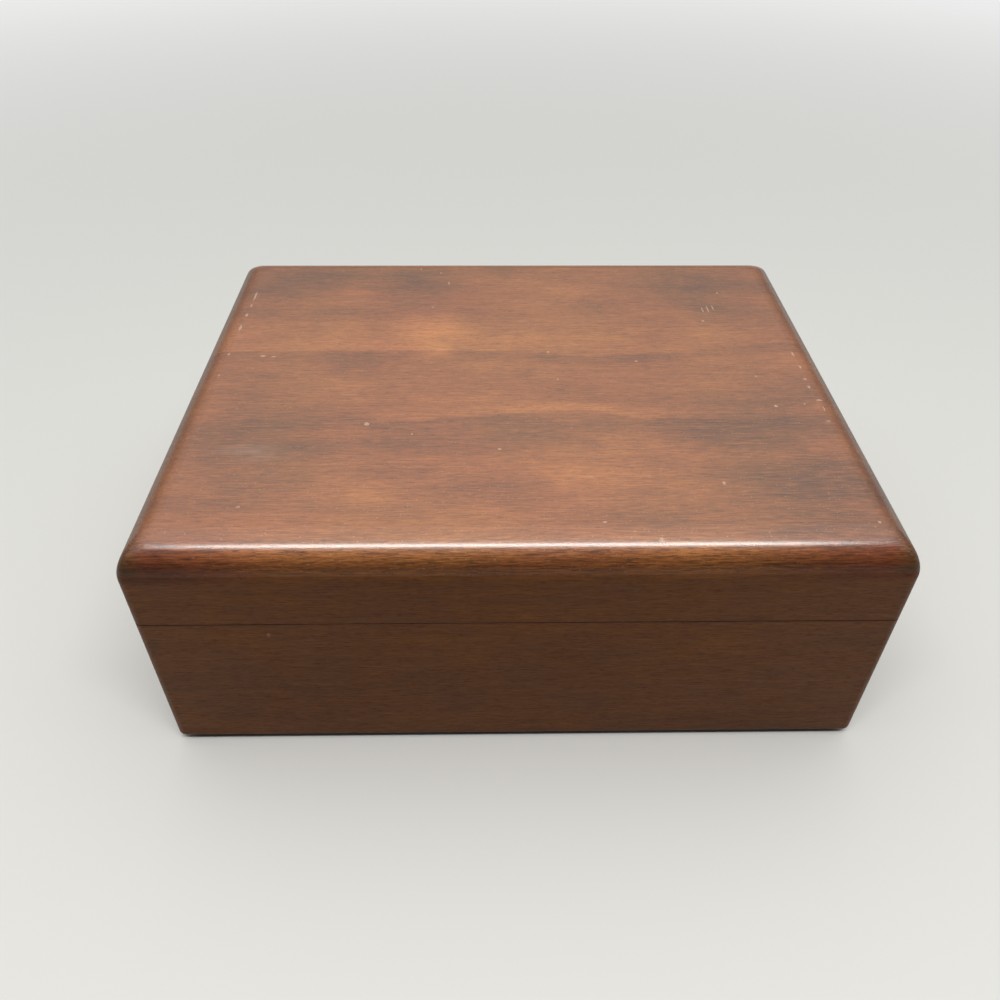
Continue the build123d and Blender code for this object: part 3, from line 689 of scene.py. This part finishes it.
def foam(name, colour):
    """Open-cell water foam."""
    finish = Finish(name)
    place = finish.place()
    cells = finish.cells(place, (0.7, 0.7, 0.7))
    damp = finish.noise(place, (14, 14, 14), detail=2.0)
    shade = finish.mix(cells.step(0.55, 0.1), colour, [0.25 * c for c in colour])
    return finish.surface({
        "Base Color": finish.mix(0.4 * damp.step(0.4, 0.7), shade, [0.5 * c for c in colour]),
        "Roughness": 0.85 - 0.2 * damp,
        "Normal": finish.bump(cells, 0.0003),
    })


def enamel(name, colour, yellowed, speck_colour):
    """Matt enamel of the dial, yellowed towards the rim, with fine specks."""
    finish = Finish(name)
    place = finish.place()
    low, high = (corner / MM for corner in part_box("hygrometer_dial"))
    middle = (low + high) / 2
    reach = (high.x - low.x) / 2
    rim = finish.away(place, middle, (reach, reach, EVERYWHERE)).step(0.45, 1.05)
    clouds = finish.noise(place, (8, 8, 8), detail=3.0)
    specks = finish.cells(place, (1.5, 1.5, 1.5)).step(0.12, 0.05)
    aged = finish.mix(0.5 * rim * clouds.step(0.2, 0.7), colour, yellowed)
    return finish.surface({
        "Base Color": finish.mix(0.2 * specks, aged, speck_colour),
        "Roughness": 0.42 + 0.2 * clouds,
        "Normal": finish.bump(clouds, 0.00001),
    })


def ink(name, colour, roughness=0.4):
    """Printed or lacquered dark colour, slightly uneven."""
    finish = Finish(name)
    place = finish.place()
    uneven = finish.noise(place, (0.6, 0.6, 0.6), detail=2.0)
    return finish.surface({
        "Base Color": finish.mix(0.5 * uneven, colour, [1.8 * c + 0.01 for c in colour]),
        "Roughness": roughness + 0.2 * (uneven - 0.5),
    })


def blued(name, colour):
    """Blued steel of the pointer."""
    finish = Finish(name)
    place = finish.place()
    heat = finish.noise(place, (5, 5, 5), detail=2.0)
    return finish.surface({
        "Base Color": finish.mix(heat.step(0.3, 0.7), colour, [2.2 * c for c in colour]),
        "Metallic": 0.85,
        "Roughness": 0.25 + 0.15 * heat,
    })


def window_glass(name):
    """Thin flat glass with faint smears."""
    finish = Finish(name)
    place = finish.place()
    drifting = finish.wander(place, (12, 12, 12), (8, 8, 0))
    smears = finish.noise(drifting, (9, 2.2, 9), detail=3.0).step(0.45, 0.8)
    return finish.surface({
        "Base Color": (0.93, 0.96, 0.95, 1),
        "Roughness": 0.03 + 0.14 * smears,
        "Specular IOR Level": 1.0,
        "Alpha": 0.13 + 0.06 * smears,
    })


def coat(nodes, material):
    """Gives CAD nodes or new pieces a finish."""
    for piece in nodes:
        piece.data.materials.clear()
        piece.data.materials.append(material)


def cad(*names):
    """The CAD nodes of those names."""
    return [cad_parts[name] for name in names]


def named(*starts):
    """CAD nodes whose names start with one of the words."""
    return [node for name, node in sorted(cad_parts.items()) if name.startswith(starts)]


def grain_of(node):
    """The axis that a board's grain runs along, which is its longer side."""
    low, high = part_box(node.name)
    return "x" if high.x - low.x > high.y - low.y else "y"


def in_scene(name, data):
    """A new object of that data in the scene."""
    made = bpy.data.objects.new(name, data)
    bpy.context.scene.collection.objects.link(made)
    return made


def new_piece(name, built, material, body):
    """A new piece from a bmesh, with its finish and the body that it rides on."""
    mesh = bpy.data.meshes.new(name)
    bmesh.ops.recalc_face_normals(built, faces=built.faces)
    built.to_mesh(mesh)
    built.free()
    piece = in_scene(name, mesh)
    mesh.materials.append(material)
    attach(piece, body)
    return piece


def shade_smooth(piece, angle=math.radians(35)):
    """Smooth shading that keeps edges sharper than the angle."""
    mesh = piece.data
    mesh.shade_smooth()
    mesh.set_sharp_from_angle(angle=angle)


def ease(built, edges, radius, segments):
    """Rounds those edges of a bmesh."""
    bmesh.ops.bevel(
        built, geom=edges, offset=radius, affect="EDGES", segments=segments, profile=0.5, material=-1,
        clamp_overlap=True,
    )


def rounded_block(low, high, corner, edge, grid):
    """A block with rounded upright corners and eased edges, cut into a grid of about that spacing."""
    built = bmesh.new()
    bmesh.ops.create_cube(built, size=1)
    size = high - low
    bmesh.ops.scale(built, vec=size, verts=built.verts)
    bmesh.ops.translate(built, vec=(low + high) / 2, verts=built.verts)
    upright = [e for e in built.edges if abs(e.verts[0].co.z - e.verts[1].co.z) > size.z / 2]
    ease(built, upright, corner, CORNER_STEPS)
    sharp = [e for e in built.edges if e.calc_face_angle(0) > math.radians(60)]
    ease(built, sharp, edge, EDGE_STEPS)
    for axis in range(3):
        steps = max(1, round(size[axis] / grid))
        normal = Vector([axis == i for i in range(3)])
        for step in range(1, steps):
            cut = low + normal * (size[axis] * step / steps)
            everything = built.verts[:] + built.edges[:] + built.faces[:]
            bmesh.ops.bisect_plane(built, geom=everything, plane_co=cut, plane_no=normal, dist=grid / 20)
    return built


class HUMIDOR_OT_case(bpy.types.Operator):
    """Finish the mahogany walls, rails, panel and lid"""

    bl_idname = "humidor.case"
    bl_label = "Finish the mahogany"

    def execute(self, context):
        settings = context.scene.humidor_case_wood
        walls = {along: wall_mahogany(f"mahogany_{along}", along, settings) for along in "xy"}
        for node in named("base_front", "base_back", "base_left", "base_right", "base_bottom", "lid_"):
            if not node.name.endswith(("_lining", "_ceiling", "_board")):
                coat([node], walls[grain_of(node)])
        coat(cad("lid_top_board"), lid_mahogany("mahogany_lid", settings))
        return {"FINISHED"}


class HUMIDOR_OT_lining(bpy.types.Operator):
    """Finish the cedar floor, linings, ceiling and divider"""

    bl_idname = "humidor.lining"
    bl_label = "Finish the cedar"

    def execute(self, context):
        settings = context.scene.humidor_lining_wood
        boards = {along: cedar(f"cedar_{along}", along, settings) for along in "xy"}
        for node in named("cedar_", "lid_"):
            if node.name.startswith("cedar_") or node.name.endswith(("_lining", "_ceiling")):
                coat([node], boards[grain_of(node)])
        return {"FINISHED"}


class HUMIDOR_OT_hardware(bpy.types.Operator):
    """Finish the hinges, screws and the instruments' metal and plastic"""

    bl_idname = "humidor.hardware"
    bl_label = "Finish the hardware"

    def execute(self, context):
        settings = context.scene.humidor_hardware
        brass, tarnish, rough = settings.brass, settings.tarnish, settings.roughness
        bronze = [0.85 * c for c in brass]
        steel = (settings.steel, settings.dull_steel)
        plating = (settings.plating, settings.dull_plating)
        bright = cad("humidifier_keeper", "hygrometer_arbor")
        gauge = cad("hygrometer_case", "hygrometer_bezel")
        for name, pieces, *look in (
            ("hinge_brass", named("hinge_"), brass, tarnish, rough, (0.12, 5, 0.12), 0.75),
            ("grille_brass", cad("humidifier_grille"), brass, tarnish, rough, (6, 0.12, 0.12), 0.5),
            ("gauge_brass", gauge, brass, tarnish, 0.2, (2, 2, 0.1), 0.45),
            ("spring_bronze", cad("hygrometer_coil"), bronze, tarnish, 0.3, (0.2, 0.2, 3), 0.75),
            ("keeper_steel", bright, *steel, 0.34, (8, 0.1, 0.1), 0.35),
            ("magnet_plating", cad("humidifier_magnets"), *plating, 0.18, (3, 3, 3), 0.3),
        ):
            coat(pieces, metal(name, *look))
        coat(cad("humidifier_case"), moulded("humidifier_plastic", settings.plastic, settings.dust))
        return {"FINISHED"}


class HUMIDOR_OT_felt(bpy.types.Operator):
    """Lay the dark felt under the base"""

    bl_idname = "humidor.felt"
    bl_label = "Lay the felt"

    def execute(self, context):
        settings = context.scene.humidor_soft
        low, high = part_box("base_felt_pad")
        inset = Vector((settings.felt_inset, settings.felt_inset, 0))
        corner, edge, grid = settings.felt_corner, settings.felt_edge, settings.felt_grid
        built = rounded_block(low + inset, high - inset, corner, edge, grid)
        middle = (low + high) / 2
        reach = high - middle
        for vert in built.verts:
            outward = Vector((vert.co.x - middle.x, vert.co.y - middle.y, 0))
            at_edge = max(abs(outward.x) / reach.x, abs(outward.y) / reach.y) > 0.99
            if at_edge:
                vert.co += outward.normalized() * settings.felt_fray * noise.noise(vert.co * FRAYS)
        piece = new_piece("felt_pad", built, felt("felt_nap", settings.felt, settings.lint), "base")
        shade_smooth(piece)
        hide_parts("base_felt_pad")
        return {"FINISHED"}


class HUMIDOR_OT_foam(bpy.types.Operator):
    """Fit the humidifier's open-cell foam"""

    bl_idname = "humidor.foam"
    bl_label = "Fit the foam"

    def execute(self, context):
        settings = context.scene.humidor_soft
        low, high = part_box("humidifier_foam")
        built = rounded_block(low, high, settings.foam_corner, settings.foam_edge, settings.foam_grid)
        bmesh.ops.recalc_face_normals(built, faces=built.faces)
        built.normal_update()
        pitted = [(vert, noise.cell(vert.co / settings.foam_grid)) for vert in built.verts]
        for vert, depth in pitted:
            vert.co -= vert.normal * settings.foam_pit * depth
        material = foam("foam_cells", settings.foam)
        piece = new_piece("humidifier_sponge", built, material, "humidifier")
        shade_smooth(piece, math.radians(80))
        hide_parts("humidifier_foam")
        return {"FINISHED"}


def dial_frame():
    """The matrix that lays flat print on the dial's printed face, around its middle."""
    low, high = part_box("hygrometer_dial")
    middle = Vector(((low.x + high.x) / 2, (low.y + high.y) / 2, low.z))
    return Matrix.Translation(middle) @ Matrix.Rotation(math.pi, 4, "X")


def reading_angle(reading):
    """Polar angle of a reading on the printed face, where 50 is at the top and readings rise clockwise."""
    sweep = math.radians(270)
    return math.pi / 2 - (reading / 100 - 0.5) * sweep


def radial_bar(built, reading, inner, outer, width, height):
    """A thin bar from the inner to the outer radius at a reading."""
    middle = Matrix.Translation(((inner + outer) / 2, 0, height / 2))
    size = Matrix.Diagonal((outer - inner, width, height, 1))
    turn = Matrix.Rotation(reading_angle(reading), 4, "Z")
    bmesh.ops.create_cube(built, size=1, matrix=turn @ middle @ size)


def arc_band(built, start, end, inner, outer, height):
    """A thin band between two radii from one reading to another."""
    turn = Matrix.Rotation(reading_angle(start), 4, "Z")
    section = ((inner, 0), (outer, 0), (outer, height), (inner, height))
    face = built.faces.new([built.verts.new(turn @ Vector((radius, 0, z))) for radius, z in section])
    sweep = reading_angle(end) - reading_angle(start)
    steps = max(2, round(abs(sweep) / math.radians(3)))
    bmesh.ops.spin(
        built, geom=[face], cent=(0, 0, 0), axis=(0, 0, 1), angle=sweep, steps=steps, use_duplicate=False
    )


def numerals(built, settings):
    """The numbers from 0 to 100, upright on the dial."""
    for reading in range(0, 101, 10):
        text = bpy.data.curves.new(f"reading_{reading}", "FONT")
        text.body = str(reading)
        text.size = settings.numeral_height / FIGURE_SHARE
        text.align_x, text.align_y = "CENTER", "CENTER"
        text.extrude = settings.ink_height / 2
        text.resolution_u = 3
        carrier = in_scene(text.name, text)
        bpy.context.view_layer.update()
        flat = bpy.data.meshes.new_from_object(carrier.evaluated_get(bpy.context.evaluated_depsgraph_get()))
        outward = Vector((settings.numeral_radius, 0, settings.ink_height / 2))
        flat.transform(Matrix.Translation(Matrix.Rotation(reading_angle(reading), 4, "Z") @ outward))
        built.from_mesh(flat)
        bpy.data.objects.remove(carrier)
        bpy.data.curves.remove(text)
        bpy.data.meshes.remove(flat)


def dial_marks(settings):
    """The marks from 0 to 100 on their circle, longer at each tenth."""
    marks = bmesh.new()
    track, height = settings.track_radius, settings.ink_height
    for step in range(settings.steps + 1):
        if step % 5 == 0:
            length, width = settings.long_mark, settings.long_width
        else:
            length, width = settings.short_mark, settings.short_width
        radial_bar(marks, step * 100 / settings.steps, track - length, track, width, height)
    arc_band(marks, 0, 100, track, track + settings.track_width, height)
    return marks


class HUMIDOR_OT_dial(bpy.types.Operator):
    """Print the hygrometer's dial and finish its pointer and glass"""

    bl_idname = "humidor.dial"
    bl_label = "Print the dial"

    def execute(self, context):
        settings = context.scene.humidor_dial
        onto_dial = dial_frame()
        marks = dial_marks(settings)
        numbers = bmesh.new()
        numerals(numbers, settings)
        zone = bmesh.new()
        inner = settings.track_radius + settings.zone_inner
        outer = settings.track_radius + settings.zone_outer
        arc_band(zone, settings.zone_start, settings.zone_end, inner, outer, settings.ink_height)
        printed = ink("dial_ink", settings.ink)
        for name, built, material in (
            ("dial_marks", marks, printed),
            ("dial_numbers", numbers, printed),
            ("dial_zone", zone, ink("zone_ink", settings.zone)),
        ):
            bmesh.ops.transform(built, matrix=onto_dial, verts=built.verts)
            new_piece(name, built, material, "hygrometer")

        face = enamel("dial_enamel", settings.enamel, settings.yellowed, settings.specks)
        coat(cad("hygrometer_dial"), face)
        coat(cad("hygrometer_pointer"), blued("pointer_blue", settings.pointer))
        coat(cad("hygrometer_glass"), window_glass("gauge_glass"))
        return {"FINISHED"}


def ray_kinds(finish):
    """1 for rays from the camera or through glass, and 1 for rays off gloss."""
    path = finish.tree.nodes.new("ShaderNodeLightPath")
    names = ("Is Camera Ray", "Is Transmission Ray", "Is Glossy Ray")
    camera, through, gloss = (Field(finish, path.outputs[name]) for name in names)
    return camera.larger(through), gloss


def studio_floor(settings):
    """A plain pale floor that lights the box less than it shows, and stays pale far off."""
    built = bmesh.new()
    bmesh.ops.create_grid(built, x_segments=1, y_segments=1, size=settings.floor_reach)
    mesh = bpy.data.meshes.new("studio_floor")
    built.to_mesh(mesh)
    built.free()
    floor = in_scene("studio_floor", mesh)
    finish = Finish("studio_floor")
    direct, glossy = ray_kinds(finish)
    seen = direct.larger(glossy)
    metres_off = finish.away(finish.place(), (0, 0, 0), (1 / MM, 1 / MM, EVERYWHERE))
    far = metres_off.step(settings.fade_start, settings.fade_end)
    mesh.materials.append(finish.surface({
        "Base Color": finish.mix(seen, settings.bounce, finish.mix(far, settings.floor, (0, 0, 0))),
        "Roughness": 0.9,
        "Specular IOR Level": 0.1,
        "Emission Color": finish.mix(seen * far, (0, 0, 0), [settings.backdrop] * 3),
        "Emission Strength": 1.0,
    }))


def studio_room(settings):
    """Soft light that is strongest overhead and behind. The camera sees a pale backdrop in its place."""
    world = bpy.data.worlds.new("studio_room")
    bpy.context.scene.world = world
    room = Finish("studio_room", world)
    _, y, z = room.split(room.node("ShaderNodeTexCoord", output="Generated"))
    behind = (0.94 * y + 0.34 * z).step(-0.16, 0.10)
    light = settings.front + behind * (settings.low + settings.high * z.step(0.15, 1.0))
    direct, _ = ray_kinds(room)
    strength = light + direct * (settings.backdrop - light)
    tint = room.mix(direct, settings.sky, (1, 1, 1))
    shown = room.node("ShaderNodeBackground", {}, {"Color": tint, "Strength": strength})
    room.node("ShaderNodeOutputWorld", {}, {"Surface": shown})


def strip_lamp(settings):
    """A long soft lamp above the front of the box."""
    lamp = bpy.data.lights.new("strip_lamp", "AREA")
    lamp.shape = "RECTANGLE"
    lamp.size, lamp.size_y = settings.strip_length, settings.strip_width
    lamp.energy = settings.strip
    lamp.color = settings.strip_colour
    holder = in_scene("strip_lamp", lamp)
    place = Vector(settings.strip_place)
    holder.location = place
    holder.rotation_euler = (Vector(settings.strip_target) - place).to_track_quat("-Z", "Y").to_euler()


def photo_camera(settings):
    """The camera at the photograph's place, angle and focal length."""
    camera = bpy.data.cameras.new("photo_camera")
    camera.sensor_width = 36
    camera.lens = settings.lens
    camera.clip_start = 0.01
    holder = in_scene("photo_camera", camera)
    turned = Matrix.Rotation(settings.turn, 4, "Z")
    tilted = Matrix.Rotation(math.pi / 2 - settings.tilt, 4, "X")
    rolled = Matrix.Rotation(settings.roll, 4, "Z")
    holder.matrix_world = Matrix.Translation(settings.camera) @ turned @ tilted @ rolled
    return holder


class HUMIDOR_OT_studio(bpy.types.Operator):
    """Set the floor, the room, the lamp and the camera"""

    bl_idname = "humidor.studio"
    bl_label = "Set the studio"

    def execute(self, context):
        settings = context.scene.humidor_studio
        studio_floor(settings)
        studio_room(settings)
        strip_lamp(settings)
        context.scene.camera = photo_camera(settings)
        context.scene.view_settings.view_transform = "Standard"
        return {"FINISHED"}


OPERATORS = (
    HUMIDOR_OT_case,
    HUMIDOR_OT_lining,
    HUMIDOR_OT_hardware,
    HUMIDOR_OT_felt,
    HUMIDOR_OT_foam,
    HUMIDOR_OT_dial,
    HUMIDOR_OT_studio,
)

SETTINGS = {
    "humidor_case_wood": CaseWoodSettings,
    "humidor_lining_wood": LiningWoodSettings,
    "humidor_hardware": HardwareSettings,
    "humidor_soft": SoftSettings,
    "humidor_dial": DialSettings,
    "humidor_studio": StudioSettings,
}


class HUMIDOR_PT_sidebar(bpy.types.Panel):
    """The settings and steps of the humidor"""

    bl_idname = "HUMIDOR_PT_sidebar"
    bl_label = "Cigar humidor"
    bl_space_type = "VIEW_3D"
    bl_region_type = "UI"
    bl_category = "Humidor"

    def draw(self, context):
        for name, group in SETTINGS.items():
            box = self.layout.box()
            for attribute in group.__annotations__:
                box.prop(getattr(context.scene, name), attribute)
        for operator in OPERATORS:
            self.layout.operator(operator.bl_idname)


CLASSES = (*SETTINGS.values(), *OPERATORS, HUMIDOR_PT_sidebar)


def register():
    """Registers the classes and hangs each group of settings on the scene."""
    for cls in CLASSES:
        bpy.utils.register_class(cls)
    for name, group in SETTINGS.items():
        setattr(bpy.types.Scene, name, PointerProperty(type=group))


def unregister():
    """Takes the settings and the classes away again."""
    for name in SETTINGS:
        delattr(bpy.types.Scene, name)
    for cls in reversed(CLASSES):
        bpy.utils.unregister_class(cls)


def main():
    """Builds everything in order."""
    register()
    for operator in OPERATORS:
        step = operator.bl_idname.split(".")[1]
        getattr(bpy.ops.humidor, step)()


if __name__ == "__main__":
    main()
